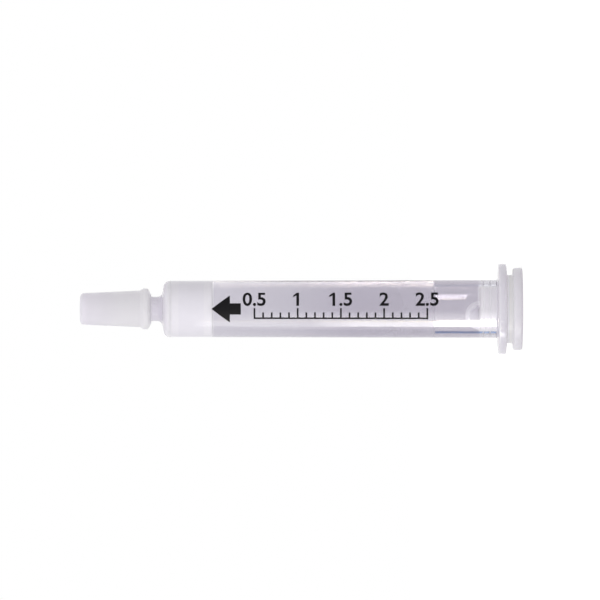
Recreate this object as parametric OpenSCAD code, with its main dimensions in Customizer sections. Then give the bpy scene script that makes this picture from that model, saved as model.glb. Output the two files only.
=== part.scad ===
// Solid phase extraction cartridge, 3 ml size, closed with a plug cap and a tip cap.
// It stands on its head: z = 0 is the plug cap's outer face and +Z runs up the axis to the tip.
// Millimetres throughout.

/* [Barrel] */
// Outside diameter of the barrel where it leaves the flange
barrel_od = 10.54; // [9.8:0.02:11.6]
// Thickness of the barrel's wall
barrel_wall = 0.77; // [0.6:0.01:1]
// Length from the mouth to the shoulder, where the neck begins
barrel_length = 63.05; // [56:0.05:76]
// Length of the straight stretch beside the flange, which locates the barrel in a rack's hole
barrel_land = 6; // [3:0.5:12]
// Draft of the rest of the barrel's wall on each side, in degrees
barrel_draft = 0.15; // [0:0.01:0.3]
// Lead-in chamfer of the mouth
mouth_chamfer = 0.3; // [0.1:0.05:0.4]
// Slope of the shoulder's face, in degrees
shoulder_slope = 10; // [0:1:20]
// Radius of the shoulder's outside edge
shoulder_round = 1.15; // [0.3:0.05:1.3]
// Thickness of the floor beside the drain
floor_thickness = 1.15; // [0.9:0.05:2]
// Slope of the floor towards the drain, in degrees
floor_slope = 6; // [0:1:10]

/* [Flange] */
// Outside diameter of the flange
flange_od = 16.5; // [15.2:0.1:20]
// Thickness of the flange at its root
flange_thickness = 1.8; // [1.5:0.05:3]
// Width of the flat ring that sits on a rack or an adapter, beside the fillet
flange_seat = 0.9; // [0.5:0.05:1.5]
// Draft of the flange outside its flat rings, on both faces, in degrees
flange_draft = 6; // [0:0.5:8]
// Radius of the flange's rim edges
flange_round = 0.3; // [0.1:0.05:0.45]
// Radius of the fillet between the flange and the barrel
flange_fillet = 0.25; // [0.1:0.05:0.5]

/* [Luer tip] */
// Length of the tip beyond the shoulder
tip_length = 11; // [9:0.1:12]
// Diameter of the tip's end
tip_end_d = 3.96; // [3.92:0.01:4]
// Taper of the tip and of the socket over it, percent on the diameter
luer_taper = 6; // [5:0.5:8]
// Diameter of the plain neck between the taper and the shoulder
neck_d = 4.45; // [4.3:0.01:4.5]
// Radius of the fillet between the neck and the shoulder
neck_fillet = 0.9; // [0.3:0.05:1.1]
// Diameter of the drain through the tip
drain_d = 1.9; // [1:0.1:2.4]

/* [Frit supports] */
// Number of ribs that carry the lower frit
support_count = 6; // [3:1:10]
// Height of the ribs' level tops above the floor's edge
support_height = 0.14; // [0.1:0.02:0.6]
// Width of each rib
support_width = 0.6; // [0.3:0.05:0.9]

/* [Packing] */
// Thickness of each frit
frit_thickness = 1.5; // [1:0.1:2.5]
// Depth of the gel bed between the frits
bed_depth = 4.6; // [2:0.1:12]
// Length of the buffer column on the axis
buffer_column = 40.0; // [10:0.1:40.5]
// Depth of the buffer's hollow surface
meniscus_depth = 0.3; // [0.1:0.1:1]
// Radial gap between the packing and the wall
packing_clearance = 0.02; // [0.01:0.005:0.05]

/* [Plug cap] */
// Diameter of the disc
disc_d = 15.04; // [13.6:0.02:20]
// Thickness of the disc
disc_thickness = 1.75; // [1.4:0.05:3]
// Radius of the disc's edges
disc_round = 0.45; // [0.1:0.05:0.6]
// Diameter of the collar between the disc and the flange
collar_d = 12.5; // [12:0.1:13]
// Height of the collar
collar_height = 1; // [0.6:0.05:2]
// Length of the plug beyond the collar
plug_length = 5.05; // [4.6:0.05:7]
// Thickness of the plug's wall and end round its recess
plug_wall = 1.1; // [0.8:0.05:1.6]
// Depth of the reliefs between the plug's sealing ribs
relief_depth = 0.3; // [0.15:0.05:0.5]
// Distance of the first sealing rib from the plug's end
rib_setback = 0.65; // [0.6:0.05:1]
// Distance from one sealing rib to the next, and on to the plug's full root
rib_pitch = 1.25; // [0.9:0.05:1.3]
// Number of sealing ribs
rib_count = 2; // [1:1:2]
// Radial gap between the bore and the plug's ribs and root
plug_clearance = 0.02; // [0.01:0.01:0.1]

/* [Tip cap] */
// Length of the tip cap
tip_cap_length = 13; // [11.5:0.1:13.2]
// Diameter of the tip cap at its closed end
tip_cap_end_d = 5.7; // [5.5:0.02:6.4]
// Diameter of the tip cap beside its bead
tip_cap_mouth_d = 6.68; // [6.3:0.02:7]
// Radius of the closed end's edge
tip_cap_round = 0.7; // [0.2:0.05:1]
// Diameter of the bead round the mouth
bead_d = 7.48; // [7.4:0.02:8.6]
// Width of the bead
bead_width = 2.1; // [1.8:0.05:2.6]
// Slope of the mouth's face, in degrees
mouth_slope = 24; // [0:1:30]
// Thickness of the closed end
tip_cap_floor = 1.3; // [0.8:0.1:1.8]
// Radial gap between the socket and the tip
socket_clearance = 0.02; // [0.01:0.01:0.1]
// Bare neck between the tip cap's mouth and the shoulder's fillet
neck_gap = 0.95; // [0.6:0.05:2]

/* [Buffer drop] */
// Radius of the drop that clings to the plug's end
drop_r = 2.6; // [1:0.1:2.6]
// Distance of the drop from the axis
drop_offset = 1.2; // [0:0.05:1.2]

/* [Hidden] */

$fn = 96;
arc_steps = 6;
surface_steps = 10;

pp_clear = [0.83, 0.82, 0.86, 0.45];
pe_milky = [0.85, 0.84, 0.87];
frit_white = [0.93, 0.92, 0.95];
gel_white = [0.90, 0.89, 0.93];
buffer_clear = [0.86, 0.85, 0.90, 0.35];

tip_edge = 0.2;
floor_fillet = 0.25;
frit_edge = 0.12;
collar_edge = 0.12;
plug_nose = 0.35;
recess_draft = 1.5;
rib_land = 0.16;
rib_foot = 0.5;
rib_edge = 0.04;
bead_ramp = 0.7;
socket_bevel = 0.25;
socket_fillet = 0.3;
gate_d = 1.2;
gate_depth = 0.15;

// Heights from the table upwards
z_disc = disc_thickness;
z_mouth = z_disc + collar_height;
z_flange = z_mouth + flange_thickness;
z_land = z_flange + barrel_land;
z_plug_end = z_mouth + plug_length;
z_shoulder = z_mouth + barrel_length;
z_floor = z_shoulder - floor_thickness;
z_tip_end = z_shoulder + tip_length;
z_cone = z_tip_end - (neck_d - tip_end_d) * 100 / luer_taper;
z_cap_mouth = z_shoulder + neck_fillet + neck_gap;
z_cap_end = z_cap_mouth + tip_cap_length;

neck_r = neck_d / 2;
drain_r = drain_d / 2;
flange_r = flange_od / 2;
cap_seat_r = collar_d / 2 + 0.1;
rack_seat_r = barrel_od / 2 + flange_fillet + flange_seat;

// Radius of the barrel's outside, of its bore and of what fills the bore, at height z
function barrel_r(z) = barrel_od / 2 - max(0, z - z_land) * tan(barrel_draft);
function bore_r(z) = barrel_r(z) - barrel_wall;
function packing_r(z) = bore_r(z) - packing_clearance;

// Radius of the tip's cone and of the socket over it, at height z
function cone_r(z) = tip_end_d / 2 + (z_tip_end - z) * luer_taper / 200;
function socket_r(z) = cone_r(z) + socket_clearance;

// Faces of the packing, from the floor down to the buffer's surface
z_floor_edge = z_floor - (bore_r(z_floor) - drain_r) * tan(floor_slope);
z_lower_frit = z_floor_edge - support_height;
z_bed = z_lower_frit - frit_thickness;
z_upper_frit = z_bed - bed_depth;
z_buffer = z_upper_frit - frit_thickness;
z_surface = z_buffer - buffer_column;

// Points of the arc that rounds corner b, between its neighbours a and c
function corner_arc(a, b, c, radius) =
    let (
        u = (a - b) / norm(a - b),
        v = (c - b) / norm(c - b),
        half = acos(u * v) / 2,
        centre = b + (u + v) / norm(u + v) * radius / sin(half),
        from = b + u * radius / tan(half) - centre,
        to = b + v * radius / tan(half) - centre,
        start = atan2(from.y, from.x),
        turn = atan2(from.x * to.y - from.y * to.x, from * to)
    )
    [
        for (i = [0 : arc_steps])
            let (angle = start + turn * i / arc_steps)
            centre + radius * [cos(angle), sin(angle)]
    ];

// Solid turned from an outline whose rows are [radius, height, corner radius]
module turned(rows) {
    n = len(rows);
    corners = [for (row = rows) [row[0], row[1]]];
    points = [
        for (i = [0 : n - 1])
            each rows[i][2] > 0
                ? corner_arc(corners[(i + n - 1) % n], corners[i], corners[(i + 1) % n], rows[i][2])
                : [corners[i]]
    ];
    rotate_extrude()
        polygon(points);
}

// One moulding: flange, drafted wall, shoulder and Luer tip, with ribs on its floor
module barrel() {
    shoulder_rise = (barrel_r(z_shoulder) - neck_r) * tan(shoulder_slope);
    z_rim_low = z_mouth + (flange_r - cap_seat_r) * tan(flange_draft);
    z_rim_high = z_flange - (flange_r - rack_seat_r) * tan(flange_draft);
    color(pp_clear) {
        turned([
            [bore_r(z_mouth) + mouth_chamfer, z_mouth, 0],
            [cap_seat_r, z_mouth, 0],
            [flange_r, z_rim_low, flange_round],
            [flange_r, z_rim_high, flange_round],
            [rack_seat_r, z_flange, 0],
            [barrel_r(z_flange), z_flange, flange_fillet],
            [barrel_r(z_land), z_land, 0],
            [barrel_r(z_shoulder), z_shoulder - shoulder_rise, shoulder_round],
            [neck_r, z_shoulder, neck_fillet],
            [neck_r, z_cone, 0],
            [cone_r(z_tip_end), z_tip_end, tip_edge],
            [drain_r, z_tip_end, 0],
            [drain_r, z_floor, 0],
            [bore_r(z_floor), z_floor_edge, floor_fillet],
            [bore_r(z_land), z_land, 0],
            [bore_r(z_mouth), z_mouth + 2 * mouth_chamfer, 0]
        ]);
        frit_supports();
    }
}

// Radial ribs with level tops that hold the lower frit off the floor, so that it drains all over
module frit_supports() {
    rib_from = drain_r + support_width / 2;
    rib_to = bore_r(z_floor) + barrel_wall / 2;
    for (i = [0 : support_count - 1])
        rotate([0, 0, i * 360 / support_count])
            translate([rib_from, -support_width / 2, z_lower_frit])
                cube([rib_to - rib_from, support_width, z_floor - z_lower_frit + floor_thickness / 4]);
}

// Disc that fills the bore between two heights
module packing(z_low, z_high, edge) {
    turned([
        [0, z_low, 0],
        [packing_r(z_low), z_low, edge],
        [packing_r(z_high), z_high, edge],
        [0, z_high, 0]
    ]);
}

module lower_frit() {
    color(frit_white)
        packing(z_bed, z_lower_frit, frit_edge);
}

module gel_bed() {
    color(gel_white)
        packing(z_upper_frit, z_bed, 0);
}

module upper_frit() {
    color(frit_white)
        packing(z_buffer, z_upper_frit, frit_edge);
}

// Buffer over the upper frit, with a surface that curves up the wall towards the plug
module storage_buffer() {
    surface_r = packing_r(z_surface);
    surface = [
        for (i = [0 : surface_steps])
            let (share = i / surface_steps)
            [surface_r * share, z_surface - meniscus_depth * pow(share, 4)]
    ];
    color(buffer_clear)
        rotate_extrude()
            polygon(concat(surface, [[packing_r(z_buffer), z_buffer], [0, z_buffer]]));
}

// Drop of buffer that clings to the plug's end
module buffer_drop() {
    dome = [for (angle = [0 : 9 : 90]) drop_r * [cos(angle), sin(angle)]];
    color(buffer_clear)
        translate([drop_offset, 0, z_plug_end])
            rotate_extrude()
                polygon(concat([[0, 0]], dome));
}

// Outline rows of one sealing rib, centred at height z
function rib_rows(z, relief_r) = [
    [relief_r, z - rib_foot / 2, rib_edge],
    [bore_r(z) - plug_clearance, z - rib_land / 2, rib_edge],
    [bore_r(z) - plug_clearance, z + rib_land / 2, rib_edge],
    [relief_r, z + rib_foot / 2, rib_edge]
];

// Disc to pull, collar that sits on the flange, and a hollow plug with sealing ribs
module top_cap() {
    relief_r = bore_r(z_plug_end) - relief_depth;
    recess_r = relief_r - plug_wall;
    root_r = bore_r(z_mouth) - plug_clearance;
    z_root = z_plug_end - rib_setback - rib_count * rib_pitch;
    z_recess = z_plug_end - plug_wall;
    ribs = [
        for (i = [rib_count - 1 : -1 : 0])
            each rib_rows(z_plug_end - rib_setback - i * rib_pitch, relief_r)
    ];
    color(pe_milky)
        turned(concat(
            [
                [recess_r, 0, 0.15],
                [disc_d / 2, 0, disc_round],
                [disc_d / 2, z_disc, disc_round],
                [collar_d / 2, z_disc, collar_edge],
                [collar_d / 2, z_mouth, collar_edge],
                [root_r, z_mouth, 0],
                [root_r, z_root, rib_edge],
                [relief_r, z_root + rib_foot / 2, rib_edge]
            ],
            ribs,
            [
                [relief_r, z_plug_end - plug_nose, 0],
                [relief_r - plug_nose, z_plug_end, 0],
                [0, z_plug_end, 0],
                [0, z_recess - gate_depth, 0],
                [gate_d / 2, z_recess - gate_depth, 0],
                [gate_d / 2, z_recess, 0],
                [recess_r - z_recess * tan(recess_draft), z_recess, 0.3]
            ]
        ));
}

// Closed sleeve with a tapered socket for the tip and a bead round its mouth
module tip_cap() {
    z_bead = z_cap_mouth + bead_width;
    z_socket_end = z_cap_end - tip_cap_floor;
    mouth_rise = (bead_d / 2 - socket_r(z_cap_mouth)) * tan(mouth_slope);
    color(pe_milky)
        turned([
            [socket_r(z_cap_mouth) + socket_bevel, z_cap_mouth, 0],
            [bead_d / 2, z_cap_mouth + mouth_rise, 0.35],
            [bead_d / 2, z_bead - bead_ramp, 0.4],
            [tip_cap_mouth_d / 2, z_bead, 0.4],
            [tip_cap_end_d / 2, z_cap_end, tip_cap_round],
            [gate_d / 2, z_cap_end, 0],
            [gate_d / 2, z_cap_end - gate_depth, 0],
            [0, z_cap_end - gate_depth, 0],
            [0, z_socket_end, 0],
            [socket_r(z_socket_end), z_socket_end, socket_fillet],
            [socket_r(z_cap_mouth + socket_bevel), z_cap_mouth + socket_bevel, 0]
        ]);
}

barrel();
lower_frit();
gel_bed();
upper_frit();
storage_buffer();
buffer_drop();
top_cap();
tip_cap();
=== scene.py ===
import math

import bmesh
import bpy
import numpy as np
from mathutils import Matrix, Vector


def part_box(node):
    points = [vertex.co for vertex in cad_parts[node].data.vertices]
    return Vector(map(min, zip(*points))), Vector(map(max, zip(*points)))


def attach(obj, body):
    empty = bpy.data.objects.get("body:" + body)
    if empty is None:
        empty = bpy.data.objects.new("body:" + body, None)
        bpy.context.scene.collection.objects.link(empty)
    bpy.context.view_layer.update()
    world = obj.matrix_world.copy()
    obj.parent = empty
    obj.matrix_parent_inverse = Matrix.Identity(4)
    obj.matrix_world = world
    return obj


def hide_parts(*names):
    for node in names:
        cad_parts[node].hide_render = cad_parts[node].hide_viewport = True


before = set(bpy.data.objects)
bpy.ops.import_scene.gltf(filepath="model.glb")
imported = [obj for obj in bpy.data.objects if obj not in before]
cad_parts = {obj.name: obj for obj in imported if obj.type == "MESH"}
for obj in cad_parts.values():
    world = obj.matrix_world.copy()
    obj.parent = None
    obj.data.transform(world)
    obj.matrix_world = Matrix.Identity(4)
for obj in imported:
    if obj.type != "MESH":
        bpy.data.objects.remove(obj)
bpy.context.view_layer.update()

mm = 0.001
segments = 256  # round every turned piece
sharpAngle = 32  # degrees; a steeper fold between two faces is shaded as an edge
rampLength = 100  # mm of height that a colour ramp covers


def levels(node):
    # lowest and highest point of a CAD node, and its largest radius, in mm
    low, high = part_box(node)
    return low.z / mm, high.z / mm, high.x / mm


zMouth, zTipEnd, flangeRadius = levels("barrel")
zBed, zLowerFrit, _ = levels("lower_frit")
zUpperFrit, _, _ = levels("gel_bed")
zBuffer, _, _ = levels("upper_frit")
zSurface = levels("storage_buffer")[0]
_, zPlugEnd, discRadius = levels("top_cap")
zCapMouth, zCapEnd, beadRadius = levels("tip_cap")


def roundedOutline(rows, closed, steps=9, hold=0.03):
    # rows are radius, height and corner radius in mm. Each corner becomes the arc that touches both
    # its sides, and every long straight stretch gets a point close to each end, to hold its shading.
    rows = np.array(rows, float)
    n = len(rows)
    points = []
    for i in range(n):
        b, radius = rows[i, :2], rows[i, 2]
        if radius <= 0 or (not closed and i in (0, n - 1)):
            points.append(b[None])
            continue
        u = rows[i - 1, :2] - b
        v = rows[(i + 1) % n, :2] - b
        u, v = u / np.linalg.norm(u), v / np.linalg.norm(v)
        half = math.acos(float(np.clip(u @ v, -1, 1))) / 2
        centre = b + (u + v) / np.linalg.norm(u + v) * radius / math.sin(half)
        start = b + u * radius / math.tan(half) - centre
        end = b + v * radius / math.tan(half) - centre
        a0 = math.atan2(start[1], start[0])
        turn = math.atan2(start[0] * end[1] - start[1] * end[0], start @ end)
        a = a0 + turn * np.linspace(0, 1, steps)
        points.append(centre + radius * np.stack([np.cos(a), np.sin(a)], 1))
    points = np.concatenate(points)
    ahead = np.roll(points, -1, 0) if closed else np.concatenate([points[1:], points[-1:]])
    length = np.linalg.norm(ahead - points, axis=1, keepdims=True)
    step = (ahead - points) * hold / np.maximum(length, 1e-9)
    keep = np.ones((len(points), 3), bool)
    keep[:, 1:] = length > 5 * hold
    return np.stack([points, points + step, ahead - step], 1)[keep]


def addMesh(name, points, quads, fans=()):
    # puts whole arrays into a new mesh object: points in mm, faces as rows of point numbers
    mesh = bpy.data.meshes.new(name)
    fans = np.array(fans, int).reshape(-1, 3)
    loops = np.concatenate([quads.ravel(), fans.ravel()])
    starts = np.concatenate([np.arange(len(quads)) * 4, len(quads) * 4 + np.arange(len(fans)) * 3])
    mesh.vertices.add(len(points))
    mesh.vertices.foreach_set("co", (points * mm).ravel())
    mesh.loops.add(len(loops))
    mesh.loops.foreach_set("vertex_index", loops)
    mesh.polygons.add(len(starts))
    mesh.polygons.foreach_set("loop_start", starts)
    mesh.update(calc_edges=True)
    mesh.validate()
    mesh.shade_smooth()
    mesh.set_sharp_from_angle(angle=math.radians(sharpAngle))
    piece = bpy.data.objects.new(name, mesh)
    bpy.context.scene.collection.objects.link(piece)
    return piece


def turned(name, outline, closed=False, lift=None, centre=(0, 0)):
    # Over outline point i and angle a: x = r(i) cos a, y = r(i) sin a, and z = z(i), or what lift
    # makes of r, z and a. An open outline starts and ends on the axis, where its ends are the poles.
    rings = outline if closed else outline[1:-1]
    a = np.linspace(0, 2 * math.pi, segments, endpoint=False)
    r, z = rings[:, :1], np.repeat(rings[:, 1:], segments, 1)
    if lift is not None:
        z = lift(r, z, a)
    grid = np.stack([centre[0] + r * np.cos(a), centre[1] + r * np.sin(a), z], 2)
    points = grid.reshape(-1, 3)
    index = np.arange(len(rings) * segments).reshape(-1, segments)
    low = index if closed else index[:-1]
    high = np.roll(index, -1, 0) if closed else index[1:]
    quads = np.stack([low, np.roll(low, -1, 1), np.roll(high, -1, 1), high], 2).reshape(-1, 4)
    if closed:
        return addMesh(name, points, quads)
    poles = np.array([[*centre, outline[0, 1]], [*centre, outline[-1, 1]]])
    first, last = np.full(segments, len(points)), np.full(segments, len(points) + 1)
    fans = np.concatenate([
        np.stack([first, np.roll(index[0], -1), index[0]], 1),
        np.stack([index[-1], np.roll(index[-1], -1), last], 1),
    ])
    return addMesh(name, np.concatenate([points, poles]), quads, fans)


def faceCentres(piece):
    # radius and height of the middle of each face, in mm
    centres = np.zeros(len(piece.data.polygons) * 3)
    piece.data.polygons.foreach_get("center", centres)
    centres = centres.reshape(-1, 3) / mm
    return np.hypot(centres[:, 0], centres[:, 1]), centres[:, 2]


def give(tree, made, values):
    # to a node's inputs: an output is linked, a number or colour is set
    for key, value in values.items():
        if isinstance(value, bpy.types.NodeSocket):
            tree.links.new(value, made.inputs[key])
        else:
            made.inputs[key].default_value = value


def node(tree, kind, values=None, **settings):
    made = tree.nodes.new(kind)
    for key, value in settings.items():
        setattr(made, key, value)
    give(tree, made, values or {})
    return made


def newMaterial(name):
    material = bpy.data.materials.new(name)
    material.use_nodes = True
    tree = material.node_tree
    return material, tree, tree.nodes["Principled BSDF"], tree.nodes["Material Output"]


def calculate(tree, operation, first, second):
    return node(tree, "ShaderNodeMath", {0: first, 1: second}, operation=operation).outputs[0]


def mixColours(tree, factor, first, second, blend="MIX"):
    # inputs 6 and 7 and output 2 of the node are its colours
    values = {"Factor": factor, 6: first, 7: second}
    return node(tree, "ShaderNodeMix", values, data_type="RGBA", blend_type=blend).outputs[2]


def ramp(tree, factor, stops):
    # stops are place and colour
    made = node(tree, "ShaderNodeValToRGB", {0: factor})
    elements = made.color_ramp.elements
    while len(elements) < len(stops):
        elements.new(0.5)
    for element, (at, colour) in zip(elements, stops):
        element.position = at
        element.color = (*colour, 1)
    return made.outputs[0]


def greyRamp(tree, factor, stops):
    # stops are place and level
    return ramp(tree, factor, [(at, (level,) * 3) for at, level in stops])


def objectPlace(tree):
    return node(tree, "ShaderNodeTexCoord").outputs["Object"]


def alongAxis(tree, stops):
    # colour by height: stops are height in mm and colour, straight lines between them
    height = node(tree, "ShaderNodeSeparateXYZ", {0: objectPlace(tree)}).outputs["Z"]
    share = calculate(tree, "MULTIPLY", height, 1 / (rampLength * mm))
    return ramp(tree, share, [(z / rampLength, colour) for z, colour in stops])


def acrossX(tree, start, end, least=0.0):
    # least at x = start and beyond it, 1 at x = end, both in mm
    x = node(tree, "ShaderNodeSeparateXYZ", {0: objectPlace(tree)}).outputs["X"]
    values = {0: x, "From Min": start * mm, "From Max": end * mm, "To Min": least}
    return node(tree, "ShaderNodeMapRange", values).outputs[0]


def slantOf(tree):
    # (1 - cosine) of the angle at which a face is looked at: 0 face on, 1 edge on
    return node(tree, "ShaderNodeLayerWeight", {"Blend": 0.5}).outputs["Facing"]


def noiseAt(tree, scale, detail, stretch=(1, 1, 1)):
    # noise in object space; scale is in blobs per mm, stretch slows it along an axis
    place = node(tree, "ShaderNodeMapping", {
        "Vector": objectPlace(tree),
        "Scale": [scale / mm * s for s in stretch],
    }).outputs[0]
    values = {"Vector": place, "Scale": 1.0, "Detail": detail, "Roughness": 0.55}
    return node(tree, "ShaderNodeTexNoise", values).outputs["Fac"]


def bump(tree, height, distance, strength=1.0):
    # distance in mm
    values = {"Height": height, "Distance": distance * mm, "Strength": strength}
    return node(tree, "ShaderNodeBump", values).outputs[0]


plastic = {
    "flowScale": 0.35,  # flow marks
    "flowStretch": (1, 1, 0.25),
    "flowDepth": 0.0004,
    "cloudScale": 0.25,
    "cloudShade": [(0.3, 0.985), (0.7, 1.0)],
    "grainScale": 6.0,
    "passTint": (0.97, 0.97, 0.97),  # of light that goes straight through
    "milkyPass": 0.85,  # share of it that the milky parts let through
}


def lampsThrough(tree, shader, output, share=1.0):
    # lamps and soft light reach what is inside: a share of shadow and diffuse rays passes straight on
    path = node(tree, "ShaderNodeLightPath").outputs
    passing = calculate(tree, "MAXIMUM", path["Is Shadow Ray"], path["Is Diffuse Ray"])
    if share < 1:
        passing = calculate(tree, "MULTIPLY", passing, share)
    clear = node(tree, "ShaderNodeBsdfTransparent", {"Color": (*plastic["passTint"], 1)})
    values = {0: passing, 1: shader.outputs[0], 2: clear.outputs[0]}
    give(tree, output, {"Surface": node(tree, "ShaderNodeMixShader", values).outputs[0]})


def clearLiquid(name, colour, ior):
    material, tree, shader, output = newMaterial(name)
    give(tree, shader, {
        "Base Color": (*colour, 1),
        "IOR": ior,
        "Transmission Weight": 1.0,
        "Roughness": 0.0,
    })
    return material, tree, shader, output


def clearPlastic(name, colour, ior, clarity, roughness):
    # moulded polypropylene: faint flow marks, long along the axis, as a slow bump
    material, tree, shader, output = newMaterial(name)
    flow = noiseAt(tree, plastic["flowScale"], 2.0, plastic["flowStretch"])
    give(tree, shader, {
        "Base Color": (*colour, 1),
        "IOR": ior,
        "Transmission Weight": clarity,
        "Roughness": roughness,
        "Normal": bump(tree, flow, plastic["flowDepth"]),
    })
    lampsThrough(tree, shader, output)
    return material


def milkyPlastic(name, stops, roughness, specular, depth, grain):
    # light spreads inside over depth metres; colour by height, times faint clouds, and a fine
    # moulded grain of so many mm
    material, tree, shader, output = newMaterial(name)
    clouds = greyRamp(tree, noiseAt(tree, plastic["cloudScale"], 3.0), plastic["cloudShade"])
    give(tree, shader, {
        "Base Color": mixColours(tree, 1.0, alongAxis(tree, stops), clouds, "MULTIPLY"),
        "Roughness": roughness,
        "Specular IOR Level": specular,
        "Subsurface Weight": 1.0,
        "Subsurface Radius": (1.0, 1.0, 1.0),
        "Subsurface Scale": depth,
        "Normal": bump(tree, noiseAt(tree, plastic["grainScale"], 2.0), grain),
    })
    lampsThrough(tree, shader, output, plastic["milkyPass"])
    return material


barrel = {
    "outerRadius": 5.27,
    "wall": 0.77,
    "flangeThickness": 1.8,
    "straight": 6.0,
    "draft": 0.15,
    "length": 63.05,
    "mouthChamfer": 0.3,
    "mouthRound": 0.05,
    "flangeRound": 0.3,
    "flangeDraft": 6.0,
    "capSeat": 6.35,
    "rackSeat": 6.42,
    "flangeFillet": 0.25,
    "shoulderSlope": 10.0,
    "shoulderRound": 1.15,
    "neckRadius": 2.225,
    "neckFillet": 0.9,
    "tipRadius": 1.98,
    "tipRound": 0.2,
    "taper": 6.0,  # of the Luer cone, percent on its diameter
    "drainRadius": 0.95,
    "drainRound": 0.1,
    "floor": 1.15,
    "floorSlope": 6.0,
    "floorFillet": 0.25,
    "floorRings": 24,
    "floorInset": (0.05, 0.1),  # of the first ring from the fillet, and of the last from the drain
    "ribs": 6,
    "ribWidth": 0.6,
    "ribEdge": 0.05,  # over which a rib's side falls to the floor
    "ribDrain": 0.3,  # clear ring round the drain
    "ribSpan": 0.3,  # how far below the floor's edge the ribs may reach
    "ribPlay": 0.01,
    "backing": 0.1,  # how far before the lower frit's end the wall is backed by plastic
    "seam": 0.1,
    "boreSkin": 0.05,  # what is so near to the bore belongs to it
    "openPaintedShade": (0.46, 0.43, 0.505),  # painted shade over what can be seen through, at the plug's end
    # painted shade too, lighter towards the bed
    "midPaintedShade": (0.47, 0.44, 0.52),
    "farPaintedShade": (0.56, 0.535, 0.605),
    "bedPaintedShade": (0.63, 0.605, 0.675),  # the same painted shade, at the bed's end
    "backedTint": (0.93, 0.925, 0.945),  # over the white bed
    "plugTint": (0.96, 0.945, 0.98),  # over the plug, face on
    "plugEdgePaintedShade": (0.36, 0.345, 0.40),  # painted shade beside it
    "paintedShadeHeights": (20, 31, 43),  # where the first painted shade ends, and of the next two
    "paintedShadeEdge": 0.12,
    "plugPaintedShadeSlant": [(0.40, 0.0), (0.48, 1.0)],
    # painted shade on the rim over the liquid, on the -X side
    "rimPaintedShade": (0.2, 0.19, 0.22),
    "paintedRimSlant": [(0.65, 0.0), (0.71, 1.0)],
    "paintedRimHeights": (43, 56),  # over which it fades
    "paintedRimReach": 2.0,
    "wetEdge": 0.05,
    "thickStops": [
        (20, (0.67, 0.64, 0.715)),  # the flange
        (60, (0.86, 0.82, 0.93)),  # painted light: lighter beside the gap under the lower frit
        (64.4, (0.86, 0.82, 0.93)),
        (65.2, (0.675, 0.645, 0.717)),  # the neck and the tip
    ],
    "thickRoughness": 0.035,
    "thickSpecular": 0.5,
    "thickDepth": 0.004,
    "thickGrain": 0.0003,
    "boreTint": (0.99, 0.99, 0.99),
    "edgeColour": (0.015, 0.07, 0.31),  # painted shade: the dark blue of light that leaves the dry bore at a grazing angle
    "paintedBandFresnel": [(0.105, 0.0), (0.135, 1.0)],
    "paintedBandSlant": [(0.265, 1.0), (0.275, 0.0)],
    "paintedBandLeast": 0.3,  # its share on the -X side
    "paintedBandReach": 2.0,
    "clarity": 0.92,
    "roughness": 0.02,
    "ior": 1.49,
    "bufferIor": 1.333,
}

zFlange = zMouth + barrel["flangeThickness"]
zStraight = zFlange + barrel["straight"]
zShoulder = zMouth + barrel["length"]
zFloor = zShoulder - barrel["floor"]
zThick = zLowerFrit - barrel["backing"]


def tangent(degrees):
    return math.tan(math.radians(degrees))


def outerRadius(z):
    # straight from the flange on, then less by the draft's tangent in each mm
    return barrel["outerRadius"] - np.maximum(0, z - zStraight) * tangent(barrel["draft"])


def boreRadius(z):
    return outerRadius(z) - barrel["wall"]


coneSlope = barrel["taper"] / 100 / 2  # radius lost in each mm
zFloorEdge = zFloor - (boreRadius(zFloor) - barrel["drainRadius"]) * tangent(barrel["floorSlope"])
zCone = zTipEnd - (barrel["neckRadius"] - barrel["tipRadius"]) / coneSlope


def fritRibs(r, z, a):
    # on the floor, ribs fill up to the lower frit where the distance to their midline is under half
    # their width
    pitch = 2 * math.pi / barrel["ribs"]
    across = r * np.abs(np.sin((a + pitch / 2) % pitch - pitch / 2))
    share = np.clip((barrel["ribWidth"] / 2 - across) / barrel["ribEdge"] + 0.5, 0, 1)
    play = barrel["ribPlay"]
    onFloor = (r > barrel["drainRadius"] + barrel["ribDrain"]) & (r < boreRadius(zFloor) + play)
    onFloor = onFloor & (z > zFloorEdge - barrel["ribSpan"]) & (z < zFloor + play)
    return np.where(onFloor, z + (np.minimum(z, zLowerFrit) - z) * share, z)


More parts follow.
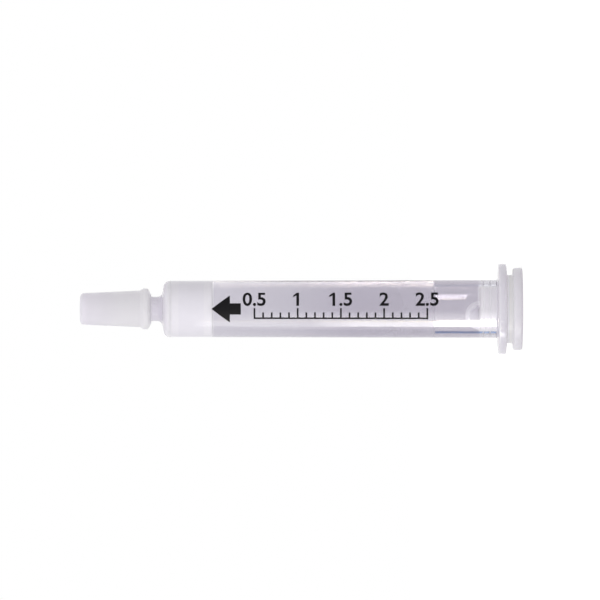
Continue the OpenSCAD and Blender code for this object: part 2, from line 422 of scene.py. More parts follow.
def outerWall():
    # painted shade by height: bare over the bed, darker where the wall can be seen through; over the
    # plug it is bare face on, with painted shade where the slant passes 0.44. Over the liquid the rim
    # on the -X side, where the slant passes 0.68, gets a darker painted shade
    material = clearPlastic(
        "barrel_wall", barrel["backedTint"], barrel["ior"], barrel["clarity"], barrel["roughness"])
    tree = material.node_tree
    edge = barrel["paintedShadeEdge"]
    zOpen, zMid, zFar = barrel["paintedShadeHeights"]
    beyond = [
        (zPlugEnd + edge, barrel["openPaintedShade"]),
        (zOpen, barrel["openPaintedShade"]),
        (zMid, barrel["midPaintedShade"]),
        (zFar, barrel["farPaintedShade"]),
        (zBuffer - edge, barrel["bedPaintedShade"]),
        (zBuffer + edge, barrel["backedTint"]),
    ]
    faceOn = alongAxis(tree, [(zPlugEnd - edge, barrel["plugTint"])] + beyond)
    slanted = alongAxis(tree, [(zPlugEnd - edge, barrel["plugEdgePaintedShade"])] + beyond)
    slant = slantOf(tree)
    tintAndPaintedShade = mixColours(tree, greyRamp(tree, slant, barrel["plugPaintedShadeSlant"]), faceOn, slanted)
    zFade, zBare = barrel["paintedRimHeights"]
    wetEdge = barrel["wetEdge"]
    wet = [(zWetTop - wetEdge, 0), (zWetTop + wetEdge, 1), (zFade, 1), (zBare, 0)]
    rim = alongAxis(tree, [(z, (level,) * 3) for z, level in wet])
    rim = calculate(tree, "MULTIPLY", rim, greyRamp(tree, slant, barrel["paintedRimSlant"]))
    rim = calculate(tree, "MULTIPLY", rim, acrossX(tree, 0, -barrel["paintedRimReach"]))
    tintAndPaintedShade = mixColours(tree, rim, tintAndPaintedShade, (*barrel["rimPaintedShade"], 1), "MULTIPLY")
    give(tree, tree.nodes["Principled BSDF"], {"Base Color": tintAndPaintedShade})
    return material


def dryBore():
    # plain inside, with a painted dark blue band for light that passes close to the angle of total
    # reflection and comes from far aside: painted where the Fresnel share passes 0.12 and the slant is
    # under 0.27, which leaves a narrow band, more on the +X side
    material, tree, shader, output = newMaterial("barrel_bore")
    fresnel = node(tree, "ShaderNodeFresnel", {"IOR": barrel["ior"]}).outputs[0]
    begin = greyRamp(tree, fresnel, barrel["paintedBandFresnel"])
    end = greyRamp(tree, slantOf(tree), barrel["paintedBandSlant"])
    band = calculate(tree, "MULTIPLY", begin, end)
    side = acrossX(tree, -barrel["paintedBandReach"], barrel["paintedBandReach"], barrel["paintedBandLeast"])
    share = calculate(tree, "MULTIPLY", band, side)
    give(tree, shader, {
        "Base Color": ramp(tree, share, [(0.0, barrel["boreTint"]), (1.0, barrel["edgeColour"])]),
        "IOR": barrel["ior"],
        "Transmission Weight": 1.0,
        "Roughness": barrel["roughness"],
    })
    lampsThrough(tree, shader, output)
    return material


def makeBarrel():
    # one closed outline, turned: from the mouth over flange, wall and tip, and back through the bore
    rise = (outerRadius(zShoulder) - barrel["neckRadius"]) * tangent(barrel["shoulderSlope"])
    lowRim = zMouth + (flangeRadius - barrel["capSeat"]) * tangent(barrel["flangeDraft"])
    highRim = zFlange - (flangeRadius - barrel["rackSeat"]) * tangent(barrel["flangeDraft"])
    chamfer, drain, fillet = barrel["mouthChamfer"], barrel["drainRadius"], barrel["floorFillet"]
    start, end = barrel["floorInset"]
    floorRadii = np.linspace(boreRadius(zFloor) - fillet - start, drain + end, barrel["floorRings"])
    floorRows = [[r, zFloor - (r - drain) * tangent(barrel["floorSlope"]), 0] for r in floorRadii]
    outline = roundedOutline([
        [boreRadius(zMouth) + chamfer, zMouth, barrel["mouthRound"]],
        [barrel["capSeat"], zMouth, 0],
        [flangeRadius, lowRim, barrel["flangeRound"]],
        [flangeRadius, highRim, barrel["flangeRound"]],
        [barrel["rackSeat"], zFlange, 0],
        [outerRadius(zFlange), zFlange, barrel["flangeFillet"]],
        [outerRadius(zStraight), zStraight, 0],
        [outerRadius(zThick), zThick, 0],
        [outerRadius(zShoulder), zShoulder - rise, barrel["shoulderRound"]],
        [barrel["neckRadius"], zShoulder, barrel["neckFillet"]],
        [barrel["neckRadius"], zCone, 0],
        [barrel["tipRadius"], zTipEnd, barrel["tipRound"]],
        [drain, zTipEnd, barrel["drainRound"]],
        [drain, zFloor, 0],
        *floorRows[::-1],
        [boreRadius(zFloor), zFloorEdge, fillet],
        [boreRadius(zBuffer), zBuffer, 0],
        [boreRadius(zWetTop), zWetTop, 0],
        [boreRadius(zStraight), zStraight, 0],
        [boreRadius(zMouth), zMouth + 2 * chamfer, 0],
    ], True)
    piece = turned("barrel_moulding", outline, True, fritRibs)
    wetIor = barrel["ior"] / barrel["bufferIor"]
    for material in (
        outerWall(),
        milkyPlastic("barrel_thick", barrel["thickStops"], barrel["thickRoughness"],
                     barrel["thickSpecular"], barrel["thickDepth"], barrel["thickGrain"]),
        dryBore(),
        clearPlastic("barrel_wet_bore", barrel["boreTint"], wetIor, 1.0, barrel["roughness"]),
    ):
        piece.data.materials.append(material)
    # thick where there is no bore inside, wet where the buffer touches the bore
    r, z = faceCentres(piece)
    kind = np.where((z < zFlange + barrel["seam"]) | (z > zThick), 1, 0)
    inside = (r < boreRadius(z) + barrel["boreSkin"]) & (z < zLowerFrit)
    kind = np.where(inside, 2, kind)
    kind = np.where(inside & (z > zWetTop) & (z < zBuffer), 3, kind)
    piece.data.polygons.foreach_set("material_index", kind.astype(np.int32))
    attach(piece, "barrel")
    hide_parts("barrel")


contents = {
    "meniscus": 0.3,
    "contact": 0.01,  # how far frits and gel sink into the wall that they wet
    "gap": 0.004,  # between the buffer's side and the bore
    "surfaceRings": 28,
    "sideStart": 0.03,
    "sideFrom": (4.3, 0.01),  # radius, and height over the surface's foot, from which a face is side
    "fritColour": (0.935, 0.905, 0.965),
    "fritRoughness": 0.7,
    "beadScale": 8000.0,
    "beadShade": 0.93,
    "beadDepth": 0.02,
    "beadStrength": 0.4,
    "gelColour": (0.885, 0.855, 0.925),
    "gelRoughness": 0.6,
    "gelScale": 0.6,
    "gelShade": 0.97,
    "specular": 0.1,
    "bufferTint": (0.985, 0.985, 0.995),
    "dropRadius": 2.6,
    "dropOffset": 1.2,
    "dropPoints": 32,
    "dropSunk": 0.02,
    "dropTint": (0.88, 0.87, 0.9),
    "paintedRimSlant": [(0.16, 0.0), (0.36, 0.95)],
    # painted light on the drop's rim
    "rimPaintedLightColour": (0.92, 0.91, 0.94),
    "rimRoughness": 0.5,
    "rimPaintedGlow": 0.3,
    "speckRadius": 0.16,  # a tiny droplet high on the bore
    "speckRise": 0.6,
    "speckSunk": 0.01,
    "speckAngle": -115.7,
    "speckHeight": 10.69,
    "speckRings": 5,
    "speckCorners": 24,
}

zWetTop = zSurface - contents["meniscus"]


def whiteDisc(name, part, zLow, zHigh, material):
    # its radius is the bore's at each height, and a little more
    outline = roundedOutline([
        [0, zLow, 0],
        [boreRadius(zLow) + contents["contact"], zLow, 0],
        [boreRadius(zHigh) + contents["contact"], zHigh, 0],
        [0, zHigh, 0],
    ], False)
    piece = turned(name, outline)
    piece.data.materials.append(material)
    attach(piece, "barrel")
    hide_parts(part)


def shades(colour, darkest):
    return [c * darkest for c in colour]


def sinteredWhite():
    # sintered beads: bump and shade by the distance from the middle of cells of about 0.12 mm
    material, tree, shader, _ = newMaterial("frit_white")
    values = {"Vector": objectPlace(tree), "Scale": contents["beadScale"]}
    beads = node(tree, "ShaderNodeTexVoronoi", values).outputs["Distance"]
    colour = contents["fritColour"]
    give(tree, shader, {
        "Base Color": ramp(tree, beads, [(0.0, colour), (1.0, shades(colour, contents["beadShade"]))]),
        "Normal": bump(tree, beads, contents["beadDepth"], contents["beadStrength"]),
        "Roughness": contents["fritRoughness"],
        "Specular IOR Level": contents["specular"],
    })
    return material


def gelWhite():
    # settled gel: a soft cloudy shade
    material, tree, shader, _ = newMaterial("gel_white")
    colour = contents["gelColour"]
    clouds = noiseAt(tree, contents["gelScale"], 4.0)
    give(tree, shader, {
        "Base Color": ramp(tree, clouds, [(0.3, shades(colour, contents["gelShade"])), (0.7, colour)]),
        "Roughness": contents["gelRoughness"],
        "Specular IOR Level": contents["specular"],
    })
    return material


def bufferMaterial(name, ior):
    material, tree, shader, output = clearLiquid(name, contents["bufferTint"], ior)
    lampsThrough(tree, shader, output)
    return material


def makeBuffer():
    # the surface drops towards the wall by the fourth power of the radius share
    side = boreRadius(zSurface) - contents["gap"]
    foot = boreRadius(zBuffer) - contents["gap"]
    share = np.linspace(0, 1, contents["surfaceRings"])
    surface = np.stack([side * share, zSurface - contents["meniscus"] * share ** 4], 1)
    rest = np.array([[side, zWetTop + contents["sideStart"]], [foot, zBuffer], [0, zBuffer]])
    piece = turned("buffer_column", np.concatenate([surface, rest]))
    piece.data.materials.append(bufferMaterial("buffer_surface", barrel["bufferIor"]))
    piece.data.materials.append(bufferMaterial("buffer_side", 1.0))  # the wet bore bends light here
    r, z = faceCentres(piece)
    radius, height = contents["sideFrom"]
    kind = np.where((r > radius) & (z > zWetTop + height), 1, 0)
    piece.data.polygons.foreach_set("material_index", kind.astype(np.int32))
    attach(piece, "barrel")
    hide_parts("storage_buffer")


def dropLiquid():
    # clear face on, with painted light on the rim where the slant passes 0.3: milky and glowing a
    # little, for the lamps' light and the white of the plug that the dome bends to its rim
    material, tree, shader, output = clearLiquid(
        "drop_liquid", contents["dropTint"], barrel["bufferIor"])
    rim = node(tree, "ShaderNodeBsdfPrincipled", {
        "Base Color": (*contents["rimPaintedLightColour"], 1),
        "Roughness": contents["rimRoughness"],
        "Emission Color": (*contents["rimPaintedLightColour"], 1),
        "Emission Strength": contents["rimPaintedGlow"],
    })
    share = greyRamp(tree, slantOf(tree), contents["paintedRimSlant"])
    both = node(tree, "ShaderNodeMixShader", {0: share, 1: shader.outputs[0], 2: rim.outputs[0]})
    lampsThrough(tree, both, output)
    return material


def makeDrop(material):
    # a quarter circle, radius times cosine out and radius times sine over the plug's end, turned
    # about an axis beside the cartridge's; its foot is sunk a little into the plug
    a = np.linspace(0, math.pi / 2, contents["dropPoints"])
    radius, zFoot = contents["dropRadius"], zPlugEnd - contents["dropSunk"]
    dome = np.stack([radius * np.cos(a), zPlugEnd + radius * np.sin(a)], 1)
    outline = np.concatenate([[[0, zFoot], [radius, zFoot]], dome])
    outline[-1, 0] = 0
    piece = turned("buffer_bead", outline, centre=(contents["dropOffset"], 0))
    piece.data.materials.append(material)
    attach(piece, "top_cap")
    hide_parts("buffer_drop")


def makeSpeck(material):
    # a low dome on the bore: at angle b round it and share t of its radius q it stands
    # 0.6 q (1 - t^2) off the bore, its rim sunk a little into the wall
    q, rise = contents["speckRadius"], contents["speckRise"] * contents["speckRadius"]
    rings, corners = contents["speckRings"], contents["speckCorners"]
    t = np.linspace(1, 0, rings + 1)[:-1, None]
    b = np.linspace(0, 2 * math.pi, corners, endpoint=False)
    right = np.append(q * t * np.cos(b), [0, 0])  # the last two are apex and foot
    z = contents["speckHeight"] + np.append(q * t * np.sin(b), [0, 0])
    off = np.append(rise * (1 - t ** 2) + 0 * b, [rise, 0]) - contents["speckSunk"]
    a = math.radians(contents["speckAngle"]) + right / boreRadius(z)
    r = boreRadius(z) - off
    index = np.arange(rings * corners).reshape(rings, corners)
    beside = np.roll(index, -1, 1)
    quads = np.stack([index[:-1], index[1:], beside[1:], beside[:-1]], 2).reshape(-1, 4)
    apex, foot = np.full(corners, rings * corners), np.full(corners, rings * corners + 1)
    fans = np.concatenate([
        np.stack([beside[-1], index[-1], apex], 1),
        np.stack([index[0], beside[0], foot], 1),
    ])
    piece = addMesh("bore_droplet", np.stack([r * np.cos(a), r * np.sin(a), z], 1), quads, fans)
    piece.data.materials.append(material)
    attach(piece, "barrel")


caps = {
    "stops": [
        (1.6, (0.83, 0.768, 0.94)),
        (1.8, (0.985, 0.915, 1.0)),  # painted light: lighter in the groove, where light is lost
        (2.6, (0.985, 0.915, 1.0)),
        (2.8, (0.83, 0.768, 0.94)),  # the plug
        (60, (0.875, 0.81, 0.985)),  # the tip cap
        (73, (0.875, 0.81, 0.985)),
        (79, (0.735, 0.674, 0.823)),
    ],
    "roughness": 0.32,
    "specular": 0.2,
    "depth": 0.008,
    "grain": 0.002,
    "discRound": 0.45,
    "collarRadius": 6.25,
    "collarRound": 0.12,
    "zDisc": 1.75,
    "relief": 0.3,
    "rootHeights": (4.65, 4.9),  # where the plug's full root ends, and the relief begins
    "wall": 1.1,
    "press": 0.005,  # how far the plug goes into the bore's wall
    "ribHeights": (5.9, 7.15),
    "ribLand": 0.16,
    "ribFoot": 0.5,
    "ribRound": 0.04,
    "nose": 0.35,
    "noseRound": 0.05,
    "recessDraft": 1.5,
    "recessRounds": (0.15, 0.3),  # at its mouth and at its floor
    "gateRadius": 0.6,  # of the moulding gate's mark
    "gateDepth": 0.15,
    "gateRounds": (0.03, 0.05),  # in the plug cap and in the tip cap
    "seatRound": 0.02,
    "tipBase": 3.34,
    "tipEnd": 2.85,
    "tipEndRound": 0.7,
    "beadWidth": 2.1,
    "beadShoulder": 0.7,
    "beadRounds": (0.35, 0.4),
    "mouthSlope": 24.0,
    "leadIn": 0.25,
    "leadRound": 0.05,
    "socketGap": 0.02,
    "socketRound": 0.3,
    "floor": 1.3,
}


def makePlugCap(material):
    # one open outline, turned: from the recess's floor over disc, collar and sealing ribs to the nose
    relief = boreRadius(zPlugEnd) - caps["relief"]
    recess = relief - caps["wall"]
    contact = boreRadius(zPlugEnd) + caps["press"]
    zRecess = zPlugEnd - caps["wall"]
    zGate = zRecess - caps["gateDepth"]
    gate, gateRound = caps["gateRadius"], caps["gateRounds"][0]
    mouthRound, floorRound = caps["recessRounds"]
    zRoot, zRelief = caps["rootHeights"]

    def rib(z):
        foot, land, corner = caps["ribFoot"] / 2, caps["ribLand"] / 2, caps["ribRound"]
        return [
            [relief, z - foot, corner],
            [contact, z - land, corner],
            [contact, z + land, corner],
            [relief, z + foot, corner],
        ]

    outline = roundedOutline([
        [0, zGate, 0],
        [gate, zGate, gateRound],
        [gate, zRecess, gateRound],
        [recess - zRecess * tangent(caps["recessDraft"]), zRecess, floorRound],
        [recess, 0, mouthRound],
        [discRadius, 0, caps["discRound"]],
        [discRadius, caps["zDisc"], caps["discRound"]],
        [caps["collarRadius"], caps["zDisc"], caps["collarRound"]],
        [caps["collarRadius"], zMouth, caps["collarRound"]],
        [contact, zMouth, caps["seatRound"]],
        [contact, zRoot, caps["ribRound"]],
        [relief, zRelief, caps["ribRound"]],
        *rib(caps["ribHeights"][0]),
        *rib(caps["ribHeights"][1]),
        [relief, zPlugEnd - caps["nose"], caps["noseRound"]],
        [relief - caps["nose"], zPlugEnd, caps["noseRound"]],
        [0, zPlugEnd, 0],
    ], False)
    piece = turned("plug_cap", outline)
    piece.data.materials.append(material)
    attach(piece, "top_cap")
    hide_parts("top_cap")


def makeTipCap(material):
    # one open outline, turned: from the socket's floor over the mouth and the bead to the end; the
    # socket's radius follows the Luer cone, and a small gap
    def socket(z):
        return barrel["tipRadius"] + (zTipEnd - z) * coneSlope + caps["socketGap"]

    lead, leadRound = caps["leadIn"], caps["leadRound"]
    gate, gateRound = caps["gateRadius"], caps["gateRounds"][1]
    zBead = zCapMouth + caps["beadWidth"]
    zSocket = zCapEnd - caps["floor"]
    zGate = zCapEnd - caps["gateDepth"]
    rise = (beadRadius - socket(zCapMouth)) * tangent(caps["mouthSlope"])
    lowRound, highRound = caps["beadRounds"]
    outline = roundedOutline([
        [0, zSocket, 0],
        [socket(zSocket), zSocket, caps["socketRound"]],
        [socket(zCapMouth + lead), zCapMouth + lead, leadRound],
        [socket(zCapMouth) + lead, zCapMouth, leadRound],
        [beadRadius, zCapMouth + rise, lowRound],
        [beadRadius, zBead - caps["beadShoulder"], highRound],
        [caps["tipBase"], zBead, highRound],
        [caps["tipEnd"], zCapEnd, caps["tipEndRound"]],
        [gate, zCapEnd, gateRound],
        [gate, zGate, gateRound],
        [0, zGate, 0],
    ], False)
    piece = turned("tip_cap_sleeve", outline)
    piece.data.materials.append(material)
    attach(piece, "tip_cap")
    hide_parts("tip_cap")


ink = {
    "proud": 0.012,
    "sunk": 0.01,
    "perMl": 15.72,  # length of 1 ml in the bore, mm
    "marks": 21,  # from 0.5 ml on, each 0.1 ml
    "zHalf": 48.82,  # where 0.5 ml stands
    "foot": -1.75,  # of the marks, mm over the middle line
    "short": 1.1,
    "long": 1.9,
    "line": 0.32,
    "numberFoot": 0.65,
    "numberSize": 3.6,
    "numberBold": 0.075,
    "strip": 0.25,  # height of the strips that bend
    "stripFrom": 0.2,  # how far under the numbers' foot the first cut lies
    "merge": 0.0001,
    "flag": [(0.15, 0.0), (-0.55, -0.55), (-0.55, -0.95), (0.15, -0.5)],  # from the head of a one
    "headWidth": 0.5,
    "zArrow": 56.6,
    "arrowLength": 5.3,
    "arrowHead": 3.3,
    "arrowHalf": 2.6,
    "arrowTip": 0.05,
    "arrowRows": 12,
    "arrowColumns": 17,
    "arrowStep": 0.02,  # from the head's widest row to the shaft's first
    "shaftHalf": 1.05,
    "grainScale": 9.0,
    "grainShade": [(0.25, (0.008, 0.007, 0.009)), (0.75, (0.004, 0.004, 0.005))],
    "roughness": 0.45,
    "specular": 0.1,
}


def inkMaterial():
    # black with a fine grain
    material, tree, shader, _ = newMaterial("ink_black")
    give(tree, shader, {
        "Base Color": ramp(tree, noiseAt(tree, ink["grainScale"], 2.0), ink["grainShade"]),
        "Roughness": ink["roughness"],
        "Specular IOR Level": ink["specular"],
    })
    return material


def wrapped(flat, z):
    # flat print is (right, up, out) in mm: right runs down the axis from z, up turns from +Y to -X
    # by its length over the wall's radius, out adds to that radius
    right, up, out = flat[..., 0], flat[..., 1], flat[..., 2]
    r = outerRadius(z - right) + out
    a = up / barrel["outerRadius"]
    return np.stack([-r * np.sin(a), r * np.cos(a), z - right], -1)


def inkBar(right, low, high, rows=9):
    # a closed flat bar: at right(i) it reaches from low(i) to high(i), in rows to bend by
    right, low, high = (np.asarray(v, float)[:, None] for v in (right, low, high))
    up = low + (high - low) * np.linspace(0, 1, rows)
    sheet = np.stack([np.broadcast_to(right, up.shape), up], 2)
    front = np.concatenate([sheet, np.full(up.shape + (1,), ink["proud"])], 2)
    back = np.concatenate([sheet, np.full(up.shape + (1,), -ink["sunk"])], 2)
    f = np.arange(up.size).reshape(up.shape)
    b = f + up.size

    def faces(*corners):
        return np.stack(corners, -1).reshape(-1, 4)

    quads = np.concatenate([
        faces(f[:-1, :-1], f[1:, :-1], f[1:, 1:], f[:-1, 1:]),
        faces(b[:-1, :-1], b[:-1, 1:], b[1:, 1:], b[1:, :-1]),
        faces(b[:-1, 0], b[1:, 0], f[1:, 0], f[:-1, 0]),
        faces(b[:-1, -1], f[:-1, -1], f[1:, -1], b[1:, -1]),
        faces(b[0, :-1], f[0, :-1], f[0, 1:], b[0, 1:]),
        faces(b[-1, :-1], b[-1, 1:], f[-1, 1:], f[-1, :-1]),
    ])
    return np.concatenate([front.reshape(-1, 3), back.reshape(-1, 3)]), quads


def joinBars(bars):
    points = np.concatenate([p for p, _ in bars])
    starts = np.cumsum([0] + [len(p) for p, _ in bars[:-1]])
    return points, np.concatenate([q + start for (_, q), start in zip(bars, starts)])


def printed(piece, material):
    piece.data.materials.append(material)
    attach(piece, "barrel")


def makeArrow(material):
    # a flow arrow towards the tip: its half width grows evenly to the head's end, then is the shaft's
    head, tip, shaft, rows = ink["arrowHead"], ink["arrowTip"], ink["shaftHalf"], ink["arrowRows"]
    shaftEnds = [head + ink["arrowStep"], ink["arrowLength"]]
    right = np.concatenate([np.linspace(0, head, rows), shaftEnds])
    widening = tip + (ink["arrowHalf"] - tip) * np.linspace(0, 1, rows)
    reach = np.concatenate([widening, [shaft, shaft]])
    points, quads = inkBar(right, -reach, reach, ink["arrowColumns"])
    printed(addMesh("flow_arrow", wrapped(points, ink["zArrow"]), quads), material)


def makeScale(material):
    # a foot line and one mark for each 0.1 ml, longer at each 0.5 ml
    step, half = ink["perMl"] / 10, ink["line"] / 2
    foot = ink["foot"]
    bars = []
    for i in range(ink["marks"]):
        high = foot + (ink["short"] if i % 5 else ink["long"])
        bars.append(inkBar([i * step - half, i * step + half], [foot, foot], [high, high]))
    end = (ink["marks"] - 1) * step
    bars.append(inkBar([-half, end + half], [foot - half] * 2, [foot + half] * 2, rows=3))
    points, quads = joinBars(bars)
    printed(addMesh("volume_scale", wrapped(points, ink["zHalf"]), quads), material)


def flagOfOne(numbers, left, top):
    # a short slanted stroke that leads up to the head of a figure one
    corners = [(left + x, top + y) for x, y in ink["flag"]]
    back = [numbers.verts.new((x, y, -ink["sunk"])) for x, y in corners]
    front = [numbers.verts.new((x, y, ink["proud"])) for x, y in corners]
    numbers.faces.new(front)
    numbers.faces.new(back[::-1])
    for i in range(4):
        numbers.faces.new([back[i], back[(i + 1) % 4], front[(i + 1) % 4], front[i]])


def makeNumbers(material):
    # plain bold numbers over the long marks, cut into strips that can bend round the wall
    numbers = bmesh.new()
    foot, size = ink["numberFoot"], ink["numberSize"]
    for i in range(0, ink["marks"], 5):
        text = bpy.data.curves.new("number", "FONT")
        text.body = f"{0.5 + i / 10:g}"
        text.align_x = "CENTER"
        text.size, text.offset = size, ink["numberBold"]
        text.extrude = (ink["proud"] + ink["sunk"]) / 2
        text.resolution_u = 4
        holder = bpy.data.objects.new("number", text)
        bpy.context.scene.collection.objects.link(holder)
        shape = bpy.data.meshes.new_from_object(holder)
        middle = (ink["proud"] - ink["sunk"]) / 2
        shape.transform(Matrix.Translation((i * ink["perMl"] / 10, foot, middle)))
        numbers.from_mesh(shape)
        if text.body.startswith("1"):
            left = min(v.co.x for v in shape.vertices)
            top = max(v.co.y for v in shape.vertices if v.co.x < left + ink["headWidth"])
            flagOfOne(numbers, left, top)
        bpy.data.objects.remove(holder)
        bpy.data.curves.remove(text)
        bpy.data.meshes.remove(shape)
    bmesh.ops.remove_doubles(numbers, verts=numbers.verts, dist=ink["merge"])
    for up in np.arange(foot - ink["stripFrom"], foot + size, ink["strip"]):
        everything = numbers.verts[:] + numbers.edges[:] + numbers.faces[:]
        cut = (0, float(up), 0)
        bmesh.ops.bisect_plane(numbers, geom=everything, plane_co=cut, plane_no=(0, 1, 0))
    mesh = bpy.data.meshes.new("volume_numbers")
    numbers.to_mesh(mesh)
    numbers.free()
    flat = np.zeros(len(mesh.vertices) * 3)
    mesh.vertices.foreach_get("co", flat)
    mesh.vertices.foreach_set("co", (wrapped(flat.reshape(-1, 3), ink["zHalf"]) * mm).ravel())
    mesh.update()
    piece = bpy.data.objects.new("volume_numbers", mesh)
    bpy.context.scene.collection.objects.link(piece)
    printed(piece, material)


stage = {
    "cameraDistance": 1.5,
    "sensor": 36,
    "clip": (0.01, 20),
    "renderWidth": 600,
    "pixels": 5.48,  # of the render, in one mm at the axis
    "axisBelowCentre": 8.9,
    "centreHeight": 40.54,
    "skyLight": 0.72,
    "floorHalf": 1500.0,
    "floorColour": (0.8, 0.8, 0.8),
    "floorGlow": 0.45,  # for the camera, up to the white of the backdrop
    "lampDistance": 0.1,
    "lampTop": 0.062,
    "lampFoot": 2.0,
    "haloFoot": 2.2,
    "keyColour": (1.0, 0.985, 0.94),
    "keyRadiance": 22.0,  # seen as a hard bright line along the wall
    "edgeColour": (1.0, 0.94, 0.66),
    "edgeRadiance": 27.0,  # its near edge, which the liquid's rim also shows
    "haloColour": (1.0, 0.98, 0.97),
    "haloRadiance": 6.0,  # the soft ramp beside that line
    "tailRadiance": 3.0,  # beyond it
    "panelAngles": (6, 46.5, 52, 74.5, 96),  # halo, key's edge, key and tail lie between these
    "even": [(0.0, 1.0), (1.0, 1.0)],
    "soft": [(0.0, 1.0), (1.0, 0.4)],
    "rising": [(0.0, 0.0), (1.0, 1.0)],
    "falling": [(0.0, 1.0), (1.0, 0.0)],
    "upKey": [
        (0.0, 1.0), (0.2, 1.0), (0.227, 0.52), (0.47, 0.5),
        (0.62, 0.2), (0.83, 0.17), (0.92, 0.14), (1.0, 0.0),
    ],
    "upHalo": [(0.0, 1.0), (0.6, 1.0), (1.0, 0.0)],
    "spotAngle": 67.0,
    "spotHeight": 0.0012,
    "spotSize": (0.024, 0.0028),
    "spotRadiance": 4.7,
    "fillAngle": 30.0,
    "fillDistance": 2.0,
    "fillHeight": 0.6,
    "fillSize": (1.5, 1.2),
    "fillRadiance": 2.7,
}


def makeCamera():
    data = bpy.data.cameras.new("camera")
    distance, pixels = stage["cameraDistance"], stage["pixels"]
    data.sensor_width = stage["sensor"]
    data.lens = stage["sensor"] * distance / mm * pixels / stage["renderWidth"]
    data.clip_start, data.clip_end = stage["clip"]
    camera = bpy.data.objects.new("camera", data)
    bpy.context.scene.collection.objects.link(camera)
    right, up, back = (0, 0, -1), (-1, 0, 0), (0, 1, 0)
    turn = Matrix((right, up, back)).transposed().to_4x4()
    x = -stage["axisBelowCentre"] / pixels * mm
    camera.matrix_world = Matrix.Translation((x, distance, stage["centreHeight"] * mm)) @ turn
    bpy.context.scene.camera = camera


def seenPlainly(tree):
    # 1 for the camera, in gloss and through clear parts, 0 for light that falls on something
    path = node(tree, "ShaderNodeLightPath").outputs
    seen = calculate(tree, "MAXIMUM", path["Is Camera Ray"], path["Is Glossy Ray"])
    return calculate(tree, "MAXIMUM", seen, path["Is Transmission Ray"])


def makeWorld():
    # white where it is seen, skyLight as a light
    world = bpy.data.worlds.new("studio")
    bpy.context.scene.world = world
    world.use_nodes = True
    tree = world.node_tree
    values = {0: seenPlainly(tree), "To Min": stage["skyLight"], "To Max": 1.0}
    give(tree, tree.nodes["Background"], {
        "Strength": node(tree, "ShaderNodeMapRange", values).outputs[0],
        "Color": (1, 1, 1, 1),
    })


def makeFloor():
    half = stage["floorHalf"]
    corners = np.array([[-half, -half, 0], [half, -half, 0], [half, half, 0], [-half, half, 0]])
    floor = addMesh("floor", corners, np.array([[0, 1, 2, 3]]))
    material, tree, shader, _ = newMaterial("floor_white")
    give(tree, shader, {
        "Base Color": (*stage["floorColour"], 1),
        "Roughness": 1.0,
        "Specular IOR Level": 0.0,
        "Emission Color": (1, 1, 1, 1),
        "Emission Strength": calculate(tree, "MULTIPLY", seenPlainly(tree), stage["floorGlow"]),
    })
    floor.data.materials.append(material)


def fadeLamp(data, across, along):
    # strength over the lamp's own two parameters, each a list of place and share
    data.use_nodes = True
    tree = data.node_tree
    place = node(tree, "ShaderNodeNewGeometry").outputs["Parametric"]
    split = node(tree, "ShaderNodeSeparateXYZ", {0: place}).outputs
    strength = calculate(
        tree, "MULTIPLY", greyRamp(tree, split["X"], across), greyRamp(tree, split["Y"], along))
    give(tree, tree.nodes["Emission"], {"Strength": strength})


def makeLamp(name, angle, distance, z, size, radiance):
    # angle is from the camera's side, +Y, towards +X; the lamp faces the axis
    data = bpy.data.lights.new(name, "AREA")
    data.shape = "RECTANGLE"
    data.size, data.size_y = size
    data.energy = radiance * math.pi * size[0] * size[1]  # watts that give this radiance
    lamp = bpy.data.objects.new(name, data)
    bpy.context.scene.collection.objects.link(lamp)
    a = math.radians(angle)
    lamp.location = (distance * math.sin(a), distance * math.cos(a), z)
    lamp.rotation_euler = Vector((math.sin(a), math.cos(a), 0)).to_track_quat("Z", "Y").to_euler()
    lamp.visible_camera = False
    return lamp


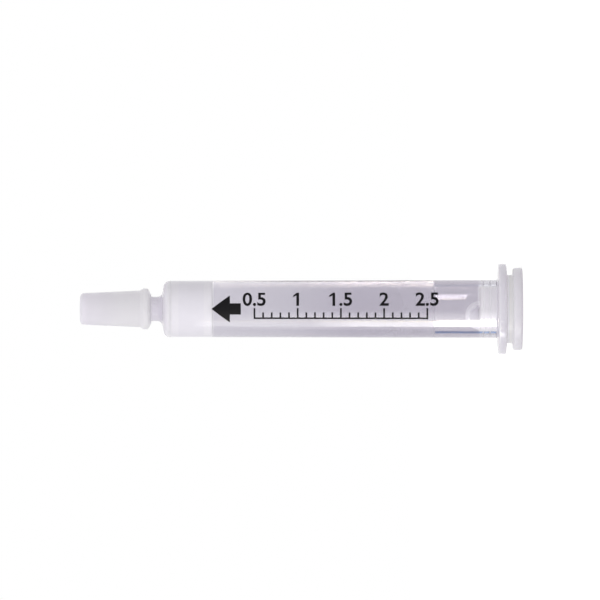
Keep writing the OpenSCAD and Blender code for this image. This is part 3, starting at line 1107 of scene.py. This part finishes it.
def makePanel(name, start, end, low, radiance, colour, across, along):
    # a reflector close to the barrel, from start to end degrees and from low mm up, that shows in
    # gloss and not on plain surfaces
    middle, half = (start + end) / 2, (end - start) / 2
    distance, height = stage["lampDistance"], stage["lampTop"] - low * mm
    size = (2 * distance * tangent(half), height)
    lamp = makeLamp(name, middle, distance, low * mm + height / 2, size, radiance)
    lamp.visible_diffuse = False
    lamp.data.color = colour
    fadeLamp(lamp.data, across, along)
    return lamp


def makeStage():
    makeCamera()
    makeWorld()
    makeFloor()
    first, second, third, fourth, last = stage["panelAngles"]
    foot, haloFoot = stage["lampFoot"], stage["haloFoot"]
    upKey, upHalo, pale = stage["upKey"], stage["upHalo"], stage["haloColour"]
    makePanel("key", third, fourth, foot, stage["keyRadiance"], stage["keyColour"],
              stage["even"], upKey)
    makePanel("key_edge", second, third, foot, stage["edgeRadiance"], stage["edgeColour"],
              stage["soft"], upKey)
    halo = makePanel("halo", first, second, haloFoot, stage["haloRadiance"], pale,
                     stage["falling"], upHalo)
    tail = makePanel("tail", fourth, last, haloFoot, stage["tailRadiance"], pale,
                     stage["rising"], upHalo)
    halo.visible_transmission = tail.visible_transmission = False
    spot = makeLamp("flange_spot", stage["spotAngle"], stage["lampDistance"], stage["spotHeight"],
                    stage["spotSize"], stage["spotRadiance"])
    spot.visible_diffuse = spot.visible_transmission = False
    fill = makeLamp("fill", stage["fillAngle"], stage["fillDistance"], stage["fillHeight"],
                    stage["fillSize"], stage["fillRadiance"])
    fill.visible_glossy = fill.visible_transmission = False


makeStage()
print("stage ready")
makeBarrel()
print("barrel ready")
frit = sinteredWhite()
whiteDisc("lower_frit_disc", "lower_frit", zBed, zLowerFrit, frit)
whiteDisc("upper_frit_disc", "upper_frit", zBuffer, zUpperFrit, frit)
whiteDisc("gel_packing", "gel_bed", zUpperFrit, zBed, gelWhite())
makeBuffer()
makeDrop(dropLiquid())
makeSpeck(bufferMaterial("droplet_liquid", barrel["bufferIor"]))
print("contents ready")
milky = milkyPlastic(
    "cap_milky", caps["stops"], caps["roughness"], caps["specular"], caps["depth"], caps["grain"])
makePlugCap(milky)
makeTipCap(milky)
print("caps ready")
black = inkMaterial()
makeArrow(black)
makeScale(black)
makeNumbers(black)
print("print ready")

bpy.context.scene.view_settings.view_transform = "Standard"
